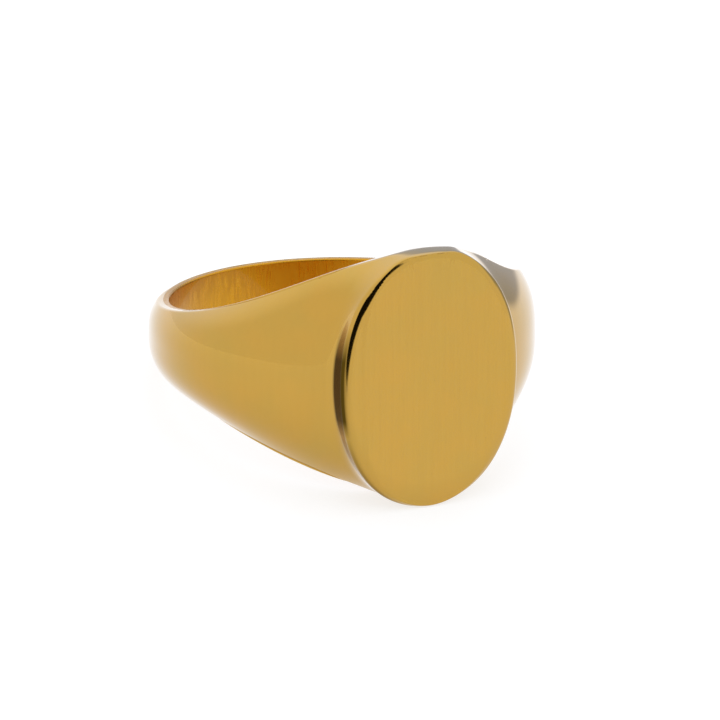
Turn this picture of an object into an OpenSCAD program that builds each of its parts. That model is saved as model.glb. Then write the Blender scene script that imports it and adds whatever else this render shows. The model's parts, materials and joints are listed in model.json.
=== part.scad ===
// Gold signet ring with a plain oval table, built up from separate worked pieces.
// The finger hole is lined by a sleeve. Around it, joined by thin solder seams, lie the
// band's back, two tapering shoulders and an oval head, which is closed by the table.
// Angles around the finger hole are counted from the middle of the table, in degrees.
// The ring lies on its side, as it does on a desk, resting on the rims of head and band.

/* [Finger hole] */
// Inside diameter of the ring
bore_d = 19; // [17:0.5:21]
// Wall of the sleeve that lines the finger hole
sleeve_t = 0.35; // [0.25:0.05:0.4]

/* [Table] */
// Width of the flat oval, around the finger
table_w = 11.2; // [10.4:0.1:12]
// Length of the flat oval, along the finger
table_l = 14.4; // [14.2:0.1:15.2]
// Height of the flat oval above the finger hole's wall
table_h = 2.3; // [2.2:0.05:2.8]
// Power of the oval's outline, where 2 is an ellipse
table_power = 2.2; // [2:0.05:2.4]
// Thickness of the table plate
plate_t = 1; // [0.8:0.05:1.1]
// Depth of the softened edge around the table
edge_h = 0.4; // [0.3:0.05:0.5]
// How far the head swells past the table at its two sides
edge_side = 0.12; // [0.05:0.01:0.3]
// How far the head swells past the table at its two ends
edge_end = 0.46; // [0.36:0.02:0.5]

/* [Head and shoulders] */
// Length of the head along the finger, at the finger hole's edge
head_l = 13.9; // [13.4:0.1:14.2]
// Wall left around the hollow in the head
head_wall = 1.3; // [1:0.1:1.6]
// Half the angle that the head takes up
head_angle = 33; // [33:1:36]
// Thickness of the shoulders at their middle line
shoulder_t = 2.3; // [2:0.05:2.5]
// Angle over which the shoulders keep that thickness
shoulder_reach = 91; // [84:1:94]
// Angle at which the shoulders are joined to the back of the band
shoulder_end = 102; // [96:3:108]
// Steepness with which the band widens towards the head, as an angle
width_reach = 66; // [62:1:70]

/* [Back of the band] */
// Width of the band at the back
back_w = 3.1; // [2.6:0.1:4]
// Thickness of the band at the middle of the back
back_t = 1.2; // [1.1:0.05:1.5]
// Thickness of the band at its rims
rim_t = 0.65; // [0.6:0.05:0.8]

/* [Seams] */
// Thickness of the solder between two pieces
solder_t = 0.05; // [0.03:0.01:0.08]

/* [Hidden] */

gold = [0.83, 0.66, 0.33];
solder = [0.88, 0.76, 0.50];

bore_r = bore_d/2;
sleeve_r = bore_r + sleeve_t;
seat_r = sleeve_r + solder_t;
top = bore_r + table_h;
plate_low = top - plate_t;
collar_top = plate_low - solder_t;
end_half = table_l/2 + edge_end;

// Shape of the shoulders where they run up into the head
head_rise = 6.5;
head_rise_reach = 14;
rim_reach = 16;
flare_reach = 25;
band_power = 2.7;
head_power = 8;
head_power_reach = 20;
// Height of the shoulders' highest part under the table
head_step = 0.12;

// How far the head's oval stays inside the ring's two sides
inset = 0.02;
// Height at which the oval wall starts, buried in the shoulders
wall_low = seat_r + 0.2;

// Steps of the curved surfaces
turn_step = 3;
crown_steps = 10;
oval_steps = 96;
edge_steps = 4;
round_fn = 180;
// A length past every side of the ring
past = 30;

// The flat facets of the pieces' seats just touch the round solder of this radius
facet_r = seat_r/cos(turn_step/2);

// A bump that is 1 at the table's middle and fades out over the given angle
function fade(a, reach, power) = exp(-pow(abs(a)/reach, power));

// Half the ring's width at the finger hole's edge
function half_w(a) = (back_w + (head_l - back_w)*fade(a, width_reach, 2))/2;
// Thickness of the flat rim
function rim(a) = rim_t + (table_h - edge_h - rim_t)*fade(a, rim_reach, 2);
// Outward lean of the rim, which makes the head widest just under the table
flare_top = (end_half - head_l/2)/(table_h - edge_h);
function side_w(a, r) = half_w(a) + flare_top*fade(a, flare_reach, 2)*(r - bore_r);
// Thickness at the middle line
function mid(a) = back_t + (shoulder_t - back_t)*fade(a, shoulder_reach, 5)
    + head_rise*fade(a, head_rise_reach, 2);
function crown_power(a) = band_power + (head_power - band_power)*fade(a, head_power_reach, 2);
// Radius at which a flat lid at a height over the finger hole's axis cuts the section
function lid_r(a, lid) = abs(a) < 60 ? lid/cos(a) : past;
// Radius of the outer surface, for q from -1 at one rim to 1 at the other
function outer_r(a, q, lid) = min(lid_r(a, lid),
    bore_r + rim(a) + (mid(a) - rim(a))*(1 - pow(abs(q), crown_power(a))));

function ring_point(a, r, w) = [r*sin(a), -r*cos(a), w];

// Outline of the ring's section at an angle, from the low side of the hole to its high side
function section(a, inner, lid) = let (
        corner = min(bore_r + rim(a), lid_r(a, lid)),
        edge = side_w(a, corner)
    ) [
        ring_point(a, inner, -side_w(a, inner)),
        for (i = [-crown_steps:crown_steps])
            let (q = i/crown_steps, w = q*edge) ring_point(a, outer_r(a, q, lid), w),
        ring_point(a, inner, side_w(a, inner))
    ];

// Outline of a plain block between the ring's two sides
function side_section(a, inner, outer) = [
        ring_point(a, inner, -side_w(a, inner)), ring_point(a, outer, -side_w(a, outer)),
        ring_point(a, outer, side_w(a, outer)), ring_point(a, inner, side_w(a, inner))
    ];

// A solid through a row of outlines that all have the same number of points
module loft(rows, closed = false) {
    n = len(rows[0]);
    m = len(rows);
    last = closed ? m - 1 : m - 2;
    walls = [for (j = [0:last]) for (i = [0:n - 1])
        let (k = (i + 1) % n, next = (j + 1) % m)
        each [[j*n + i, j*n + k, next*n + k], [j*n + i, next*n + k, next*n + i]]];
    ends = closed ? [] : [[for (i = [n - 1:-1:0]) i], [for (i = [0:n - 1]) (m - 1)*n + i]];
    polyhedron(points = [for (row = rows) each row], faces = concat(walls, ends), convexity = 8);
}

// Angles from one end of a piece to the other, in even steps
function turns(from, to) = let (n = max(1, ceil((to - from)/turn_step)))
    [for (i = [0:n]) from + (to - from)*i/n];

// The stretch of the ring between two angles, outside the sleeve and its solder
module band(from, to, lid = past) {
    loft([for (a = turns(from, to)) section(a, facet_r, lid)]);
}

function signed_pow(x, p) = sign(x)*pow(abs(x), p);
// A point of the oval that is swollen by side and end, at height v over the finger hole's axis
function oval_point(i, side, end, v) = let (t = -360*i/oval_steps, p = 2/table_power)
    [(table_w/2 + side)*signed_pow(cos(t), p), -v, (table_l/2 + end)*signed_pow(sin(t), p)];

module oval_block(side, end, low, high) {
    loft([for (v = [low, high]) [for (i = [0:oval_steps - 1]) oval_point(i, side, end, v)]]);
}

// How far the head's oval swells past the table at its ends, at a height: it leans in
// towards the finger with the ring's two sides, and stays just inside them
function end_swell(v) = side_w(0, min(v, top - edge_h)) - table_l/2 - inset;
module oval_wall(low, high) {
    loft([for (v = [low, high])
        [for (i = [0:oval_steps - 1]) oval_point(i, edge_side, end_swell(v), v)]]);
}

// The table's oval with its softened edge, down to the underside of the plate
module oval_table() {
    soft = [for (k = [edge_steps:-1:0]) let (t = 90*k/edge_steps)
        [sin(t), top - edge_h*(0.6*(1 - cos(t)) + 0.4*k/edge_steps)]];
    rows = concat([[1, plate_low]], soft);
    loft([for (row = rows) [for (i = [0:oval_steps - 1])
        oval_point(i, edge_side*row[0], end_swell(row[1])*row[0], row[1])]]);
}

// The slice of the head between two heights
module slice(low, high) {
    translate([-past/2, -high, -past/2]) cube([past, high - low, past]);
}

// Head as one block, up to the given height
module head_block(high) {
    band(-head_angle, head_angle, high);
    oval_wall(wall_low, high);
}

// The hollow under the table plate
module hollow() {
    oval_block(-head_wall, -head_wall, bore_r - 1, top + 1);
}

// Angle that a solder seam takes up at the band's middle
seam = asin(solder_t/(bore_r + shoulder_t/2));

// Lays the ring down on the rims of its head and band, with its origin below its middle
head_low = [top - edge_h, -end_half];
band_low = [-(bore_r + rim_t), -half_w(180)];
rest_tilt = atan((band_low[1] - head_low[1])/(head_low[0] - band_low[0]));
front_reach = top*cos(rest_tilt) + table_l/2*sin(rest_tilt);
back_reach = max([for (q = [0:0.1:1])
    outer_r(180, q, past)*cos(rest_tilt) + q*half_w(180)*sin(rest_tilt)]);
rest_lift = -head_low[1]*cos(rest_tilt) - head_low[0]*sin(rest_tilt);
module at_rest() {
    translate([0, (front_reach - back_reach)/2, rest_lift]) rotate([-rest_tilt, 0, 0]) children();
}

// Oval plate with the flat table, filed flush with the head below it
module face_plate() {
    color(gold) at_rest() intersection() {
        union() {
            band(-head_angle, head_angle, top - head_step);
            oval_table();
        }
        slice(plate_low, top + 1);
    }
}

// Solder between the table plate and the collar's top
module face_solder() {
    color(solder) at_rest() difference() {
        intersection() {
            head_block(plate_low);
            slice(collar_top, plate_low);
        }
        hollow();
    }
}

// Oval head with its raised wall, hollow under the table
module head_collar() {
    color(gold) at_rest() difference() {
        head_block(collar_top);
        hollow();
    }
}

module left_head_solder() {
    color(solder) at_rest() band(-head_angle - seam, -head_angle);
}

module right_head_solder() {
    color(solder) at_rest() band(head_angle, head_angle + seam);
}

// Shoulders, which taper in width and thickness from the head to the back of the band
module left_shoulder() {
    color(gold) at_rest() band(-shoulder_end, -head_angle - seam);
}

module right_shoulder() {
    color(gold) at_rest() band(head_angle + seam, shoulder_end);
}

module left_shank_solder() {
    color(solder) at_rest() band(-shoulder_end - seam, -shoulder_end);
}

module right_shank_solder() {
    color(solder) at_rest() band(shoulder_end, shoulder_end + seam);
}

// Back of the band, flat inside and crowned outside
module shank() {
    color(gold) at_rest() loft([for (a = turns(shoulder_end + seam, 360 - shoulder_end - seam))
        section(a > 180 ? a - 360 : a, facet_r, past)]);
}

// The full ring of material between the two sides, cut to a tube
module lining(inner, outer) {
    intersection() {
        loft([for (a = [-180:turn_step:180 - turn_step]) side_section(a, bore_r - 1, seat_r + 1)],
            closed = true);
        difference() {
            cylinder(r = outer, h = past, center = true, $fn = round_fn);
            cylinder(r = inner, h = past + 1, center = true, $fn = round_fn);
        }
    }
}

// Solder between the sleeve and the pieces around it
module sleeve_solder() {
    color(solder) at_rest() lining(sleeve_r, seat_r);
}

// Sleeve that lines the finger hole and closes the hollow head from below
module inner_sleeve() {
    color(gold) at_rest() lining(bore_r, sleeve_r);
}

face_plate();
face_solder();
head_collar();
left_head_solder();
right_head_solder();
left_shoulder();
right_shoulder();
left_shank_solder();
right_shank_solder();
shank();
sleeve_solder();
inner_sleeve();
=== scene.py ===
"""A gold signet ring with a plain oval table, lying on its side on a pale surface.

The ring is one smooth shape, given by a function that is roughly the distance to its surface and
negative inside it. The head and the band are closed meshes whose outer skin is traced on that
shape. The sleeve and its solder are built from their radii, and the sleeve is then moved on to the
shape, which leaves a groove up to 0.1 mm wide beside them at both ends of the head. A small tick
is left where the head meets the right shoulder's lowered upper rim.
Lengths inside the shape functions are millimetres in the ring's own axes:
u across the table, v from the middle of the finger hole out through the table, w along the finger.
"""

import json
import math

import bmesh
import bpy
import numpy as np
from mathutils import Matrix, Vector


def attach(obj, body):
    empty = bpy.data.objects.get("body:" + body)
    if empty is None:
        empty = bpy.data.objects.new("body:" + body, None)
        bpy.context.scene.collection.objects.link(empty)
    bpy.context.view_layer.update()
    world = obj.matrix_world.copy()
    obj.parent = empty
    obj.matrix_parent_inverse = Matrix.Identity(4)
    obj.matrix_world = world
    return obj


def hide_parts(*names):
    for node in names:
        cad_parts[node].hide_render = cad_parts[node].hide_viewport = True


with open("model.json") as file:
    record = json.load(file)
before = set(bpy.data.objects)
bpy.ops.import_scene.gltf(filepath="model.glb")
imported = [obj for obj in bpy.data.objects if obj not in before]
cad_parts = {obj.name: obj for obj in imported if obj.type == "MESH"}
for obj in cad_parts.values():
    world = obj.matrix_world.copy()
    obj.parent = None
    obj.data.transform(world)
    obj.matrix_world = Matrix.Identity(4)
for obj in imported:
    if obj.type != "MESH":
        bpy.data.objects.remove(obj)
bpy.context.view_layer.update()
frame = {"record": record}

MM = 0.001

# ---------------------------------------------------------------- the ring's axes and sizes

mounts = {mount["name"]: mount for mount in frame["record"]["mounts"]}
bore = mounts["finger_bore"]
table = mounts["table_face"]
CENTRE = Vector(bore["pos_m"])
W_AXIS = Vector(bore["axis"]).normalized()
V_AXIS = Vector(table["axis"]).normalized()
U_AXIS = W_AXIS.cross(V_AXIS)

BORE_R = bore["dims"]["r_mm"]
HEAD_L = bore["dims"]["length_mm"]
TOP = (Vector(table["pos_m"]) - CENTRE).length/MM

# Sizes that the CAD has too
SLEEVE_T = 0.35
SOLDER_T = 0.05
TABLE_W = 11.2
TABLE_L = 14.4
TABLE_POWER = 2.2
PLATE_T = 1.0
EDGE_H = 0.4
EDGE_SIDE = 0.12
EDGE_END = 0.46
HEAD_WALL = 1.3
HEAD_ANGLE = 33
SHOULDER_T = 2.3
SHOULDER_REACH = 91
SHOULDER_END = 102
WIDTH_REACH = 66
BACK_W = 3.1
BACK_T = 1.2
HEAD_RISE = 6.5
HEAD_RISE_REACH = 14
RIM_REACH = 16
FLARE_REACH = 25
# How square the band's crown is, away from the head and over it
BAND_POWER = 2.7
HEAD_POWER = 8
HEAD_POWER_REACH = 20
# How far the shoulders' crest stays under the table, and the head's wall inside the rims
HEAD_STEP = 0.12
INSET = 0.02

# Away from the head the CAD's rims are even. Here they are thin near the head and at the back and
# thicker beside the finger, and the upper one is thickest on the right shoulder
RIM_T = 0.3
WIDE_RIM = 0.48
WIDE_RIM_ANGLE = 105
WIDE_RIM_REACH = 30
RIGHT_RIM = 0.9
RIGHT_RIM_ANGLE = 62
RIGHT_RIM_REACH = 22
# The upper edge of the right shoulder runs this much lower than the left one's
RIGHT_DROP = 0.44
RIGHT_DROP_ANGLE = 47
RIGHT_DROP_REACH = 18
# Distance from the ring's middle to the head's upper end, which stands straight under the table
UPPER_END = 7.305
UPPER_SOFT = 0.15
# How suddenly the shoulders' thickness falls off around the end of its reach
SHOULDER_POWER = 5
# The crest is held under the table as far as this angle to each side
CREST_ANGLE = 60
# How quickly the table's edge turns down into the wall
EDGE_POWER = 2.6

# How softly the surfaces run into each other
CORNER_SOFT = 0.1
EDGE_SOFT = 0.42
CREASE_SOFT = 0.3
LID_SOFT = 0.25
BORE_SOFT = 0.1
# The table's edge is sharper at its upper end; the power says how near the end that starts
UPPER_EDGE_SOFT = 0.15
UPPER_EDGE_POWER = 4

# Painted shade on the table's wall beside the shoulders, a dark band that stands in for a dark
# reflection: the heights over the shoulder at which it starts, is full, begins to fade and is gone,
# and how far the wall may turn upwards before the painted shade begins to fade and is gone
PAINTED_SHADE_HEIGHTS = (0.06, 0.22, 0.9, 1.2)
PAINTED_SHADE_SLOPES = (0.3, 0.75)
LEFT_PAINTED_SHADE_HEIGHTS = (0.06, 0.22, 2.2, 2.8)
LEFT_PAINTED_SHADE_SLOPES = (0.75, 0.96)
# How much painted shade there is at places along the finger
PAINTED_SHADE_PLACES = (-5.5, -4, -3, -2, 1.6, 3.5)
PAINTED_SHADE_SHARES = (0.5, 0.4, 0.2, 1, 1, 0)
# On the right the painted shade is full only where the wall and the shoulder meet at least this sharply
PAINTED_SHADE_BEND = 0.3

# Fineness of the meshes; SLICES is for a quarter turn around the table
SLICES = 64
HEAD_SAMPLES = 700
HEAD_ROWS = 110
BAND_SAMPLES = 500
BAND_ROWS = 44
TRACE_STEPS = 22
BEND_WEIGHT = 0.8
# Distances from the finger hole's axis of the points from which the skin is traced
HEAD_MIDDLE = 7.5
BAND_MIDDLE = 9.5
# How far the lines from there run, and how far they lean at most
HEAD_TRACE = 12
HEAD_LEAN = 87
BAND_TRACE = 9
BAND_LEAN = 89
# Steps of the band's pieces and of the lining around the ring, in degrees
BAND_STEP = 1
SHANK_STEP = 1.5
LINING_STEP = 1.5
# Steps along the lining, across its rims and across the hidden faces
LINING_COLUMNS = 24
RIM_COLUMNS = 10
WIDE_COLUMNS = 8
NARROW_COLUMNS = 4
# How often the lining's points are moved towards the ring's surface
SETTLE_STEPS = 6
# Width of a numerical slope's step, and the least slope and length that are divided by
SLOPE_STEP = 1e-3
LEAST_STEEPNESS = 0.02
LEAST = 1e-9
# Points that round to the same spot on this grid become one
SPOTS_PER_MM = 1e5

SLEEVE_R = BORE_R + SLEEVE_T
SEAT_R = SLEEVE_R + SOLDER_T
PLATE_LOW = TOP - PLATE_T
COLLAR_TOP = PLATE_LOW - SOLDER_T
SEAM = math.degrees(math.asin(SOLDER_T/(BORE_R + SHOULDER_T/2)))
FLARE = (TABLE_L/2 + EDGE_END - HEAD_L/2)/(TOP - BORE_R - EDGE_H)

# Gold, its marks and the painted shade beside the table, in linear colour
GOLD = (0.515, 0.29, 0.034)
CLOUD_GOLD = (0.48, 0.29, 0.038)
DEEP_GOLD = (0.59, 0.28, 0.01)
DEEP_CLOUD_GOLD = (0.59, 0.29, 0.014)
STREAK_COLOUR = (0.45, 0.25, 0.03)
STREAK_SHARE = 0.15
# The pits' dark colour, which is also the colour of the painted shade on the table's wall, and how far that
# painted shade darkens
PIT_AND_PAINTED_SHADE_COLOUR = (0.03, 0.018, 0.001)
PAINTED_SHADE_DARKNESS = 0.9
PIT_SHARE = 0.5
COAT_IOR = 1.4
COAT_ROUGHNESS = 0.04
LINING_GLOSS = 0.3
ROUGHNESS = 0.09
TABLE_ROUGHNESS = 0.1
LINING_ROUGHNESS = 0.3
# The share of its roughness by which a material is smoother or rougher in its streaks
ROUGHNESS_SPREAD = 0.3
# Sizes in millimetres along the ring's axes: the streaks' grain, the clouds, the pits
STREAKS = (0.25, 0.25, 2.5)
TABLE_STREAKS = (0.12, 0.12, 3.5)
LINING_STREAKS = (0.15, 0.15, 1.2)
CLOUDS = (2.6, 2.6, 2.6)
PIT_SPACING = 1.3
PIT_SIZE = 0.05
SCRATCH_HEIGHT = 0.0004
LINING_SCRATCH_HEIGHT = 0.0002
NOISE_DETAIL = 3
# Noise mostly lies between these values
NOISE_LOW = 0.3
NOISE_HIGH = 0.7

# The white studio around the ring: a dark opening near the camera, a low grey wall behind to the
# right and a bluish soft box high up behind
STUDIO_LIGHT = 1.1
OPENING_AZIMUTH = -104
OPENING_HEIGHT = 27
OPENING_CORE = 25
OPENING_EDGE = 29
OPENING_COLOUR = (0.01, 0.01, 0.01)
WALL_AZIMUTH = 25
WALL_CORE = 36
WALL_EDGE = 55
WALL_LOW = 10
WALL_HIGH = 22
WALL_COLOUR = (0.45, 0.50, 0.60)
SOFTBOX_AZIMUTH = 95
SOFTBOX_HEIGHT = 50
SOFTBOX_CORE = 15
SOFTBOX_EDGE = 48
SOFTBOX_COLOUR = (1.18, 1.24, 1.45)
# The floor's grey zone before the wall is painted shade of light falling off: there the floor loses its
# glow and turns a bluish grey, and the ring reflects it
# Metres from the origin at which the floor before the wall starts to turn grey, is grey and ends
FAR_START = 0.056
FAR_END = 0.09
FLOOR_SIZE = 3
FLOOR_COLOUR = (0.3, 0.3, 0.3)
PAINTED_FALLOFF_FLOOR_COLOUR = (0.42, 0.45, 0.5)
FLOOR_GLOW = 0.75
FLOOR_ROUGHNESS = 0.6

# The camera's place, fitted to the photo's outline and table edge, in degrees and millimetres
CAMERA_YAW = 28.34
CAMERA_RISE = 15.67
CAMERA_DISTANCE = 802
CAMERA_RIGHT = 1.52
CAMERA_DOWN = 1.83
# Its sensor and lens in millimetres, and how far it sees in metres
SENSOR_WIDTH = 36
FOCAL_LENGTH = 694
CLIP_END = 10


# ---------------------------------------------------------------- the ring's shape

def fade(angle, reach, power=2):
    return np.exp(-np.power(np.abs(angle)/reach, power))


def soft_min(a, b, soft):
    overlap = np.maximum(soft - np.abs(a - b), 0)/soft
    return np.minimum(a, b) - overlap*overlap*soft/4


def soft_max(a, b, soft):
    return -soft_min(-a, -b, soft)


def half_width(angle):
    return (BACK_W + (HEAD_L - BACK_W)*fade(angle, WIDTH_REACH))/2


def rim_thickness(angle, w):
    rim = (RIM_T + WIDE_RIM*fade(np.abs(angle) - WIDE_RIM_ANGLE, WIDE_RIM_REACH)
           + np.where(w > 0, RIGHT_RIM, 0)*fade(angle - RIGHT_RIM_ANGLE, RIGHT_RIM_REACH))
    return rim + (TOP - BORE_R - EDGE_H - rim)*fade(angle, RIM_REACH)


def side_w(angle, r, w):
    """Distance of the rim from the ring's middle, on the side of the ring that w is on."""
    side = half_width(angle) + FLARE*fade(angle, FLARE_REACH)*(r - BORE_R)
    drop = RIGHT_DROP*fade(angle - RIGHT_DROP_ANGLE, RIGHT_DROP_REACH)
    return np.where(w > 0, soft_min(side - drop, UPPER_END, UPPER_SOFT), side)


def skin_r(angle, w):
    """Radius of the band's outer skin at an angle from the table's middle."""
    rim = rim_thickness(angle, w)
    middle = (BACK_T + (SHOULDER_T - BACK_T)*fade(angle, SHOULDER_REACH, SHOULDER_POWER)
              + HEAD_RISE*fade(angle, HEAD_RISE_REACH))
    power = BAND_POWER + (HEAD_POWER - BAND_POWER)*fade(angle, HEAD_POWER_REACH)
    q = np.abs(w)/side_w(angle, BORE_R + rim, w)
    r = BORE_R + rim + (middle - rim)*(1 - np.power(q, power))
    cosine = np.cos(np.radians(np.clip(angle, -CREST_ANGLE, CREST_ANGLE)))
    return soft_min(r*cosine, TOP - HEAD_STEP, LID_SOFT)/cosine


def band_distance(u, v, w):
    angle = np.degrees(np.arctan2(u, v))
    r = np.hypot(u, v)
    step = SLOPE_STEP
    skin = skin_r(angle, w)
    slope_w = (skin_r(angle, w + step) - skin_r(angle, w - step))/(2*step)
    slope_a = np.degrees(skin_r(angle + step, w) - skin_r(angle - step, w))/(2*step)/r
    skin_gap = (r - skin)/np.sqrt(1 + slope_w**2 + slope_a**2)
    side_gap = (np.abs(w) - side_w(angle, r, w))/math.hypot(1, FLARE)
    return soft_max(skin_gap, side_gap, CORNER_SOFT)


def oval_gauge(u, v, w):
    """1 on the wall and the softened edge of the table's oval, less inside it."""
    depth = np.clip((TOP - v)/EDGE_H, -1, 1)
    swell = np.where(depth > 0, 1 - np.power(np.maximum(1 - depth, 0), EDGE_POWER), EDGE_POWER*depth)
    end = side_w(0, np.clip(v, BORE_R, TOP - EDGE_H), w) - TABLE_L/2 - INSET
    across = np.abs(u)/(TABLE_W/2 + EDGE_SIDE*swell)
    along = np.abs(w)/(TABLE_L/2 + end*swell)
    return np.power(np.power(across, TABLE_POWER) + np.power(along, TABLE_POWER), 1/TABLE_POWER)


def unit(vectors):
    return vectors/np.maximum(np.linalg.norm(vectors, axis=-1, keepdims=True), LEAST)


def gradient(function, u, v, w):
    step = SLOPE_STEP
    return np.stack([
        function(u + step, v, w) - function(u - step, v, w),
        function(u, v + step, w) - function(u, v - step, w),
        function(u, v, w + step) - function(u, v, w - step)], axis=-1)/(2*step)


def table_distance(u, v, w):
    gauge = oval_gauge(u, v, w)
    steepness = np.linalg.norm(gradient(oval_gauge, u, v, w), axis=-1)
    wall_gap = (gauge - 1)/np.maximum(steepness, LEAST_STEEPNESS)
    soft = EDGE_SOFT + (UPPER_EDGE_SOFT - EDGE_SOFT)*np.clip(2*w/TABLE_L, 0, 1)**UPPER_EDGE_POWER
    return np.maximum(soft_max(wall_gap, v - TOP, soft), SEAT_R - v)


def painted_shade_depth(points):
    """How much painted shade lies at points: up to 1 on the table's wall beside a shoulder, standing in for
    a dark reflection.
    """
    place = (points[..., 0], points[..., 1], points[..., 2])
    wall, shoulder = (unit(gradient(function, *place)) for function in (table_distance, band_distance))
    upwards = wall[..., 1]
    bend = 1 - np.sum(wall*shoulder, axis=-1)
    height = band_distance(*place) - table_distance(*place)
    left = (np.interp(height, LEFT_PAINTED_SHADE_HEIGHTS, (0, 1, 1, 0))
            * np.interp(upwards, LEFT_PAINTED_SHADE_SLOPES, (1, 0)))
    right = (np.interp(height, PAINTED_SHADE_HEIGHTS, (0, 1, 1, 0))
             * np.interp(upwards, PAINTED_SHADE_SLOPES, (1, 0))*np.clip(bend/PAINTED_SHADE_BEND, 0, 1))
    return np.where(points[..., 0] < 0, left, right)*np.interp(points[..., 2], PAINTED_SHADE_PLACES, PAINTED_SHADE_SHARES)


def outer_distance(u, v, w):
    """Distance outside the ring's skin and rims, as if it had no finger hole."""
    return soft_min(table_distance(u, v, w), band_distance(u, v, w), CREASE_SOFT)


def ring_distance(u, v, w):
    return soft_max(outer_distance(u, v, w), BORE_R - np.hypot(u, v), BORE_SOFT)


# ---------------------------------------------------------------- tracing the skin

def skin_normals(points):
    return unit(gradient(ring_distance, points[..., 0], points[..., 1], points[..., 2]))


def traced(origin, direction, reach):
    """Points of the skin along lines from a point inside the ring's outer shape."""
    low = np.zeros(direction.shape[:-1])
    high = np.full(direction.shape[:-1], float(reach))
    for _ in range(TRACE_STEPS):
        middle = (low + high)/2
        points = origin + middle[..., None]*direction
        outside = outer_distance(points[..., 0], points[..., 1], points[..., 2]) > 0
        high = np.where(outside, middle, high)
        low = np.where(outside, low, middle)
    return origin + ((low + high)/2)[..., None]*direction


def cut_short(path, room):
    """A path up to the place where the room left on it runs out."""
    last = int(np.argmax(room < 0))
    share = room[last - 1]/(room[last - 1] - room[last])
    end = path[last - 1] + share*(path[last] - path[last - 1])
    return np.vstack([path[:last], end])


def respaced(path, count):
    """A path with the given number of points, closer together where it bends."""
    lengths = np.linalg.norm(np.diff(path, axis=0), axis=1)
    bends = np.linalg.norm(np.diff(skin_normals(path), axis=0), axis=1)
    travel = np.concatenate([[0], np.cumsum(lengths + BEND_WEIGHT*bends)])
    wanted = np.linspace(0, travel[-1], count)
    return np.stack([np.interp(wanted, travel, path[:, axis]) for axis in range(3)], axis=1)


def line(start, end, count):
    """Points after start, up to and including end."""
    share = np.arange(1, count + 1)[:, None]/count
    return start + share*(end - start)


def head_slices():
    """Paths over the head from the table's middle down to the seams with the shoulders and
    to the sleeve's seat, in half planes all around the table."""
    turn = np.radians(np.arange(4*SLICES)*90/SLICES)[:, None]
    fall = np.radians(np.linspace(0, HEAD_LEAN, HEAD_SAMPLES))[None, :]
    direction = np.stack([np.sin(fall)*np.cos(turn), np.cos(fall)*np.ones_like(turn),
                          np.sin(fall)*np.sin(turn)], axis=-1)
    paths = traced(np.array([0, HEAD_MIDDLE, 0]), direction, HEAD_TRACE)
    result = []
    for path in paths:
        side_room = np.tan(np.radians(HEAD_ANGLE))*path[:, 1] - np.abs(path[:, 0])
        seat_room = np.hypot(path[:, 0], path[:, 1]) - SEAT_R
        result.append(respaced(cut_short(path, np.minimum(side_room, seat_room)), HEAD_ROWS))
    return np.array(result)


def between(path, low, high):
    """A path down over the head, with what lies outside two heights drawn to where it crosses them."""
    result = path.copy()
    for height, outside in ((high, path[:, 1] > high), (low, path[:, 1] < low)):
        after = int(np.argmax(path[:, 1] < height))
        upper = path[after - 1]
        lower = path[after]
        crossing = upper + (upper[1] - height)/(upper[1] - lower[1])*(lower - upper)
        result[outside] = (crossing[0], height, crossing[2])
    return result


def band_section(angle):
    """The skin over the band from one rim to the other at an angle, outside the sleeve's seat."""
    outward = np.array([math.sin(math.radians(angle)), math.cos(math.radians(angle)), 0])
    lean = np.radians(np.linspace(0, BAND_LEAN, BAND_SAMPLES))[:, None]
    halves = []
    for side in (-1, 1):
        direction = np.cos(lean)*outward + np.sin(lean)*np.array([0, 0, side])
        path = traced(outward*BAND_MIDDLE, direction, BAND_TRACE)
        path = cut_short(path, np.hypot(path[:, 0], path[:, 1]) - SEAT_R)
        halves.append(respaced(path, BAND_ROWS))
    return np.concatenate([halves[0][:0:-1], halves[1]])


# ---------------------------------------------------------------- closed meshes

def merged(points, faces):
    """Points that lie on one spot become one, and faces lose the corners that they no longer need."""
    spots = np.round(points*SPOTS_PER_MM).astype(np.int64)
    _, first, number = np.unique(spots, axis=0, return_index=True, return_inverse=True)
    number = number.reshape(-1)
    kept = []
    kinds = []
    for face, kind in faces:
        corners = []
        for corner in (int(number[i]) for i in face):
            if not corners or corners[-1] != corner:
                corners.append(corner)
        if len(corners) > 1 and corners[0] == corners[-1]:
            corners.pop()
        if len(corners) > 2 and len(set(corners)) == len(corners):
            kept.append(corners)
            kinds.append(kind)
    return points[first], kept, kinds


def grid_faces(rows, columns, kinds, wrap_rows, wrap_columns):
    """Quads between neighbouring rows and columns of points; kinds has one entry per column step."""
    faces = []
    for i in range(rows if wrap_rows else rows - 1):
        k = (i + 1) % rows
        for j in range(columns if wrap_columns else columns - 1):
            m = (j + 1) % columns
            faces.append(((i*columns + j, i*columns + m, k*columns + m, k*columns + j), kinds[j]))
    return faces


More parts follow.
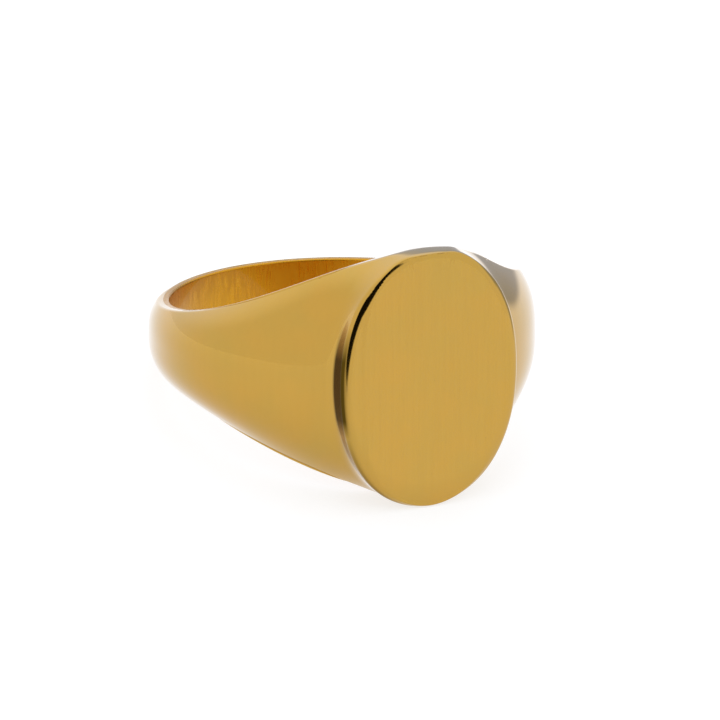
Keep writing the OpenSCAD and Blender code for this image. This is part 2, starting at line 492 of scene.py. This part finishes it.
def make_piece(name, rows, kinds, material, node, wrap_rows=False, wrap_columns=True):
    """A closed mesh through rows of points, standing for one CAD node.

    kinds says for each step along a row whether it runs on the ring's "skin" or is "flat".
    """
    rows = np.asarray(rows, float)
    count, columns, _ = rows.shape
    faces = grid_faces(count, columns, kinds, wrap_rows, wrap_columns)
    if not wrap_rows:
        faces.append((tuple(range(columns))[::-1], "flat"))
        faces.append((tuple(range((count - 1)*columns, count*columns)), "flat"))
    points, faces, kinds = merged(rows.reshape(-1, 3), faces)
    mesh = bpy.data.meshes.new(name)
    place = Matrix((U_AXIS, V_AXIS, W_AXIS)).transposed()
    world = points @ np.array(place).T*MM + np.array(CENTRE)
    mesh.from_pydata(world.tolist(), [], faces)
    corners = np.array([point for face in faces for point in face])
    owner = np.repeat(np.arange(len(faces)), [len(face) for face in faces])
    shape = bmesh.new()
    shape.from_mesh(mesh)
    inside_out = shape.calc_volume(signed=True) < 0
    shape.free()
    if inside_out:
        mesh.flip_normals()
        corners = np.zeros(len(mesh.loops), int)
        mesh.loops.foreach_get("vertex_index", corners)
    flat = np.zeros(len(faces)*3)
    mesh.polygons.foreach_get("normal", flat)
    flat = flat.reshape(-1, 3)[owner]
    smooth = skin_normals(points)[corners] @ np.array(place).T
    on_skin = np.array([kind == "skin" for kind in kinds])[owner]
    mesh.polygons.foreach_set("use_smooth", [True]*len(faces))
    mesh.normals_split_custom_set(np.where(on_skin[:, None], smooth, flat).tolist())
    # Share of painted shade at each point: a dark band on the table's wall beside the shoulders, standing
    # in for a dark reflection
    painted_shade_amount = mesh.attributes.new("recess", "FLOAT", "POINT")
    painted_shade_amount.data.foreach_set("value", painted_shade_depth(points).astype(np.float32))
    mesh.validate()
    mesh.materials.append(material)
    piece = bpy.data.objects.new(name, mesh)
    bpy.context.scene.collection.objects.link(piece)
    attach(piece, "root")
    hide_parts(node)
    return piece


# ---------------------------------------------------------------- the pieces

def hollow_edge(path):
    """Where a head slice crosses the edge of the hollow under the table plate."""
    across = path[-1, 0]/(TABLE_W/2 - HEAD_WALL)
    along = path[-1, 2]/(TABLE_L/2 - HEAD_WALL)
    gauge = (abs(across)**TABLE_POWER + abs(along)**TABLE_POWER)**(1/TABLE_POWER)
    return path[-1, 0]/gauge, path[-1, 2]/gauge


def seat_point(u, w):
    return np.array([u, math.sqrt(SEAT_R**2 - u**2), w])


def face_plate(slices, material):
    rows = []
    for path in slices:
        skin = between(path, PLATE_LOW, TOP + 1)
        middle = np.array([0, PLATE_LOW, 0])
        rows.append(np.vstack([skin, line(skin[-1], middle, WIDE_COLUMNS)]))
    kinds = ["skin"]*(HEAD_ROWS - 1) + ["flat"]*WIDE_COLUMNS
    return make_piece("Face_Plate", rows, kinds, material, "face_plate",
                      wrap_rows=True, wrap_columns=False)


def face_solder(slices, material):
    rows = []
    for path in slices:
        skin = between(path, COLLAR_TOP, PLATE_LOW)
        u, w = hollow_edge(path)
        inner_low = np.array([u, COLLAR_TOP, w])
        inner_high = np.array([u, PLATE_LOW, w])
        rows.append(np.vstack([skin, line(skin[-1], inner_low, NARROW_COLUMNS), inner_high[None],
                               line(inner_high, skin[0], NARROW_COLUMNS)[:-1]]))
    kinds = ["skin"]*(HEAD_ROWS - 1) + ["flat"]*(2*NARROW_COLUMNS + 1)
    return make_piece("Face_Solder", rows, kinds, material, "face_solder", wrap_rows=True)


def head_collar(slices, material):
    rows = []
    for path in slices:
        skin = between(path, 0, COLLAR_TOP)
        u, w = hollow_edge(path)
        reach = min(1, SEAT_R*math.sin(math.radians(HEAD_ANGLE))/max(abs(path[-1, 0]), LEAST))
        foot = seat_point(path[-1, 0]*reach, path[-1, 2]*reach)
        share = np.arange(1, WIDE_COLUMNS + 1)/WIDE_COLUMNS
        seat = [seat_point(foot[0] + s*(u - foot[0]), foot[2] + s*(w - foot[2])) for s in share]
        hollow_high = np.array([u, COLLAR_TOP, w])
        rows.append(np.vstack([skin, line(skin[-1], foot, NARROW_COLUMNS), seat,
                               line(seat[-1], hollow_high, NARROW_COLUMNS),
                               line(hollow_high, skin[0], NARROW_COLUMNS)[:-1]]))
    kinds = ["skin"]*(HEAD_ROWS - 1) + ["flat"]*(WIDE_COLUMNS + 3*NARROW_COLUMNS)
    return make_piece("Head_Collar", rows, kinds, material, "head_collar", wrap_rows=True)


def band_piece(name, low, high, step, material, node):
    count = max(1, math.ceil(abs(high - low)/step))
    rows = []
    for angle in np.linspace(low, high, count + 1):
        section = band_section(angle)
        rows.append(np.vstack([section, line(section[-1], section[0], WIDE_COLUMNS)[:-1]]))
    kinds = ["skin"]*(2*BAND_ROWS - 2) + ["flat"]*WIDE_COLUMNS
    return make_piece(name, rows, kinds, material, node)


def lining(name, inner_r, outer_r, material, node):
    """A full ring between two radii that ends where side_w puts the rims.

    The one that bounds the finger hole is then moved on to the ring's surface.
    """
    rows = []
    for angle in np.arange(0, 360, LINING_STEP):
        turned = (angle + 180) % 360 - 180
        outward = np.array([math.sin(math.radians(turned)), math.cos(math.radians(turned)), 0])
        rims = []
        for side in (1, -1):
            along = np.array([0, 0, side])
            inner = outward*inner_r + along*side_w(turned, inner_r, side)
            outer = outward*outer_r + along*side_w(turned, outer_r, side)
            rims.append(np.vstack([outer[None], line(outer, inner, RIM_COLUMNS)]))
        high_rim, low_rim = rims[0], rims[1][::-1]
        rows.append(np.vstack([high_rim, line(high_rim[-1], low_rim[0], LINING_COLUMNS)[:-1], low_rim,
                               line(low_rim[-1], high_rim[0], NARROW_COLUMNS)[:-1]]))
    skin_steps = 2*RIM_COLUMNS + LINING_COLUMNS
    kinds = ["skin"]*skin_steps + ["flat"]*NARROW_COLUMNS
    rows = np.array(rows)
    if inner_r <= BORE_R:
        rows[:, :skin_steps + 1] = settled(rows[:, :skin_steps + 1])
    return make_piece(name, rows, kinds, material, node, wrap_rows=True)


def settled(points):
    """Points near the ring's surface moved straight on to it."""
    for _ in range(SETTLE_STEPS):
        gap = ring_distance(points[..., 0], points[..., 1], points[..., 2])
        points = points - gap[..., None]*skin_normals(points)
    return points


# ---------------------------------------------------------------- materials

def add_node(tree, kind, inputs, **settings):
    """A shader node; an input is a number, a colour, a vector or another node's output."""
    node = tree.nodes.new("ShaderNode" + kind)
    for name, value in settings.items():
        setattr(node, name, value)
    for name, value in inputs.items():
        if isinstance(value, bpy.types.NodeSocket):
            tree.links.new(value, node.inputs[name])
        else:
            node.inputs[name].default_value = value
    return node


def ring_place(tree):
    """The place on the ring in millimetres along its own axes."""
    place = add_node(tree, "TexCoord", {}).outputs["Object"]
    place = add_node(tree, "VectorMath", {0: place, 1: CENTRE}, operation="SUBTRACT").outputs[0]
    parts = [add_node(tree, "VectorMath", {0: place, 1: axis/MM}, operation="DOT_PRODUCT").outputs["Value"]
             for axis in (U_AXIS, V_AXIS, W_AXIS)]
    return add_node(tree, "CombineXYZ", dict(enumerate(parts))).outputs[0]


def noise(tree, place, grain):
    """Noise whose grain has the given sizes, in millimetres, along the ring's axes."""
    place = add_node(tree, "VectorMath", {0: place, 1: [1/size for size in grain]},
                     operation="MULTIPLY").outputs[0]
    return add_node(tree, "TexNoise", {"Vector": place, "Scale": 1, "Detail": NOISE_DETAIL}).outputs["Fac"]


def spread(tree, value, low, high):
    """A noise value turned into a number from low to high."""
    return add_node(tree, "MapRange", {"Value": value, "From Min": NOISE_LOW, "From Max": NOISE_HIGH,
                                       "To Min": low, "To Max": high}).outputs[0]


def mixed(tree, share, first, second):
    node = add_node(tree, "Mix", {0: share, 6: first, 7: second}, data_type="RGBA")
    return node.outputs[2]


def pits(tree, place, spacing, size):
    """1 in the middle of small round specks scattered through space, falling to 0 around them."""
    place = add_node(tree, "VectorMath", {0: place, "Scale": 1/spacing}, operation="SCALE").outputs[0]
    cells = add_node(tree, "TexVoronoi", {"Vector": place, "Scale": 1})
    return add_node(tree, "MapRange", {"Value": cells.outputs["Distance"], "From Min": size/spacing,
                                       "From Max": 0, "To Min": 0, "To Max": 1}).outputs[0]


def gold_material(name, colour, other_colour, streaks, roughness, scratch_height=SCRATCH_HEIGHT, gloss=1):
    """Polished gold with cloudy colour, fine streaks and small pits, and painted shade on the table's wall
    beside the shoulders that stands in for a dark reflection.
    """
    material = bpy.data.materials.new(name)
    material.use_nodes = True
    tree = material.node_tree
    shader = tree.nodes["Principled BSDF"]
    place = ring_place(tree)
    cloud = spread(tree, noise(tree, place, CLOUDS), 0, 1)
    streak = noise(tree, place, streaks)
    specks = pits(tree, place, PIT_SPACING, PIT_SIZE)
    blend = mixed(tree, cloud, (*colour, 1), (*other_colour, 1))
    blend = mixed(tree, spread(tree, streak, 0, STREAK_SHARE), blend, (*STREAK_COLOUR, 1))
    blend = mixed(tree, spread(tree, specks, 0, PIT_SHARE), blend, (*PIT_AND_PAINTED_SHADE_COLOUR, 1))
    # Painted shade: where the point attribute says so, the coat is taken away and the colour darkened
    # towards the pits' dark colour
    painted_shade_amount = add_node(tree, "Attribute", {}, attribute_name="recess").outputs["Fac"]
    coat = add_node(tree, "MapRange", {"Value": painted_shade_amount, "To Min": gloss, "To Max": 0}).outputs[0]
    tree.links.new(coat, shader.inputs["Coat Weight"])
    painted_shade_amount = add_node(tree, "Math", {0: painted_shade_amount, 1: PAINTED_SHADE_DARKNESS}, operation="MULTIPLY").outputs[0]
    blend = mixed(tree, painted_shade_amount, blend, (*PIT_AND_PAINTED_SHADE_COLOUR, 1))
    tree.links.new(blend, shader.inputs["Base Color"])
    rough = spread(tree, streak, (1 - ROUGHNESS_SPREAD)*roughness, (1 + ROUGHNESS_SPREAD)*roughness)
    tree.links.new(rough, shader.inputs["Roughness"])
    bump = add_node(tree, "Bump", {"Height": streak, "Strength": 1, "Distance": scratch_height*MM})
    tree.links.new(bump.outputs[0], shader.inputs["Normal"])
    shader.inputs["Metallic"].default_value = 1
    shader.inputs["Coat Roughness"].default_value = COAT_ROUGHNESS
    shader.inputs["Coat IOR"].default_value = COAT_IOR
    return material


# ---------------------------------------------------------------- camera and light

def add_camera():
    yaw = math.radians(CAMERA_YAW)
    rise = math.radians(CAMERA_RISE)
    back = (U_AXIS*(-math.sin(yaw)*math.cos(rise)) + V_AXIS*(math.cos(yaw)*math.cos(rise))
            + W_AXIS*math.sin(rise))
    right = W_AXIS.cross(back).normalized()
    up = back.cross(right)
    data = bpy.data.cameras.new("Camera")
    data.sensor_width = SENSOR_WIDTH
    data.lens = FOCAL_LENGTH
    data.clip_end = CLIP_END
    camera = bpy.data.objects.new("Camera", data)
    place = CENTRE + back*CAMERA_DISTANCE*MM + right*CAMERA_RIGHT*MM - up*CAMERA_DOWN*MM
    rotation = Matrix((right, up, back)).transposed().to_4x4()
    camera.matrix_world = Matrix.Translation(place) @ rotation
    bpy.context.scene.collection.objects.link(camera)
    bpy.context.scene.camera = camera


def towards(azimuth, height):
    azimuth = math.radians(azimuth)
    height = math.radians(height)
    return Vector((math.cos(azimuth)*math.cos(height), math.sin(azimuth)*math.cos(height),
                   math.sin(height)))


def zone(tree, direction, centre, core, edge):
    """1 where a direction is within the core angle of the centre, falling to 0 at the edge angle."""
    nearness = add_node(tree, "VectorMath", {0: direction, 1: centre}, operation="DOT_PRODUCT")
    return add_node(tree, "MapRange", {"Value": nearness.outputs["Value"],
                                       "From Min": math.cos(math.radians(edge)),
                                       "From Max": math.cos(math.radians(core))},
                    interpolation_type="SMOOTHSTEP").outputs[0]


def add_floor():
    mesh = bpy.data.meshes.new("Floor")
    size = FLOOR_SIZE
    mesh.from_pydata([(-size, -size, 0), (size, -size, 0), (size, size, 0), (-size, size, 0)], [],
                     [(0, 1, 2, 3)])
    floor = bpy.data.objects.new("Floor", mesh)
    bpy.context.scene.collection.objects.link(floor)
    material = bpy.data.materials.new("Pale_Floor")
    material.use_nodes = True
    tree = material.node_tree
    place = add_node(tree, "TexCoord", {}).outputs["Object"]
    distance = add_node(tree, "VectorMath", {0: place}, operation="LENGTH").outputs["Value"]
    direction = add_node(tree, "VectorMath", {0: place}, operation="NORMALIZE").outputs[0]
    far = add_node(tree, "MapRange", {"Value": distance, "From Min": FAR_START, "From Max": FAR_END},
                   interpolation_type="SMOOTHSTEP").outputs[0]
    behind = zone(tree, direction, towards(WALL_AZIMUTH, 0), WALL_CORE, WALL_EDGE)
    # Painted shade: beyond FAR_START towards the wall the floor turns grey and its glow fades out
    grey = add_node(tree, "Math", {0: far, 1: behind}, operation="MULTIPLY").outputs[0]
    shader = tree.nodes["Principled BSDF"]
    tree.links.new(mixed(tree, grey, (*FLOOR_COLOUR, 1), (*PAINTED_FALLOFF_FLOOR_COLOUR, 1)),
                   shader.inputs["Base Color"])
    tree.links.new(mixed(tree, grey, (1, 1, 1, 1), (0, 0, 0, 1)), shader.inputs["Emission Color"])
    shader.inputs["Roughness"].default_value = FLOOR_ROUGHNESS
    shader.inputs["Emission Strength"].default_value = FLOOR_GLOW
    mesh.materials.append(material)


def add_world():
    world = bpy.data.worlds.new("Studio")
    bpy.context.scene.world = world
    world.use_nodes = True
    tree = world.node_tree
    direction = add_node(tree, "TexCoord", {}).outputs["Generated"]
    height = add_node(tree, "SeparateXYZ", {0: direction}).outputs["Z"]
    low = add_node(tree, "MapRange", {"Value": height, "From Min": math.sin(math.radians(WALL_HIGH)),
                                      "From Max": math.sin(math.radians(WALL_LOW))},
                   interpolation_type="SMOOTHSTEP").outputs[0]
    wall = zone(tree, direction, towards(WALL_AZIMUTH, 0), WALL_CORE, WALL_EDGE)
    wall = add_node(tree, "Math", {0: wall, 1: low}, operation="MULTIPLY").outputs[0]
    opening = zone(tree, direction, towards(OPENING_AZIMUTH, OPENING_HEIGHT), OPENING_CORE,
                   OPENING_EDGE)
    softbox = zone(tree, direction, towards(SOFTBOX_AZIMUTH, SOFTBOX_HEIGHT), SOFTBOX_CORE,
                   SOFTBOX_EDGE)
    light = mixed(tree, softbox, (1, 1, 1, 1), (*SOFTBOX_COLOUR, 1))
    light = mixed(tree, wall, light, (*WALL_COLOUR, 1))
    light = mixed(tree, opening, light, (*OPENING_COLOUR, 1))
    background = tree.nodes["Background"]
    tree.links.new(light, background.inputs["Color"])
    background.inputs["Strength"].default_value = STUDIO_LIGHT


# ---------------------------------------------------------------- building

bpy.context.scene.view_settings.view_transform = "Standard"
add_camera()
add_floor()
add_world()

gold = gold_material("Polished_Gold", GOLD, CLOUD_GOLD, STREAKS, ROUGHNESS)
table_gold = gold_material("Table_Gold", GOLD, CLOUD_GOLD, TABLE_STREAKS, TABLE_ROUGHNESS)
lining_gold = gold_material("Lining_Gold", DEEP_GOLD, DEEP_CLOUD_GOLD, LINING_STREAKS, LINING_ROUGHNESS,
                            LINING_SCRATCH_HEIGHT, LINING_GLOSS)
solder = gold_material("Gold_Solder", GOLD, CLOUD_GOLD, STREAKS, ROUGHNESS)
slices = head_slices()
face_plate(slices, table_gold)
face_solder(slices, solder)
head_collar(slices, gold)
for side, name in ((-1, "Left"), (1, "Right")):
    node = name.lower()
    band_piece(name + "_Head_Solder", side*HEAD_ANGLE, side*(HEAD_ANGLE + SEAM), BAND_STEP,
               solder, node + "_head_solder")
    band_piece(name + "_Shoulder", side*(HEAD_ANGLE + SEAM), side*SHOULDER_END, BAND_STEP,
               gold, node + "_shoulder")
    band_piece(name + "_Shank_Solder", side*SHOULDER_END, side*(SHOULDER_END + SEAM), BAND_STEP,
               solder, node + "_shank_solder")
band_piece("Shank", SHOULDER_END + SEAM, 360 - SHOULDER_END - SEAM, SHANK_STEP, gold, "shank")
lining("Sleeve_Solder", SLEEVE_R, SEAT_R, solder, "sleeve_solder")
lining("Inner_Sleeve", BORE_R, SLEEVE_R, lining_gold, "inner_sleeve")
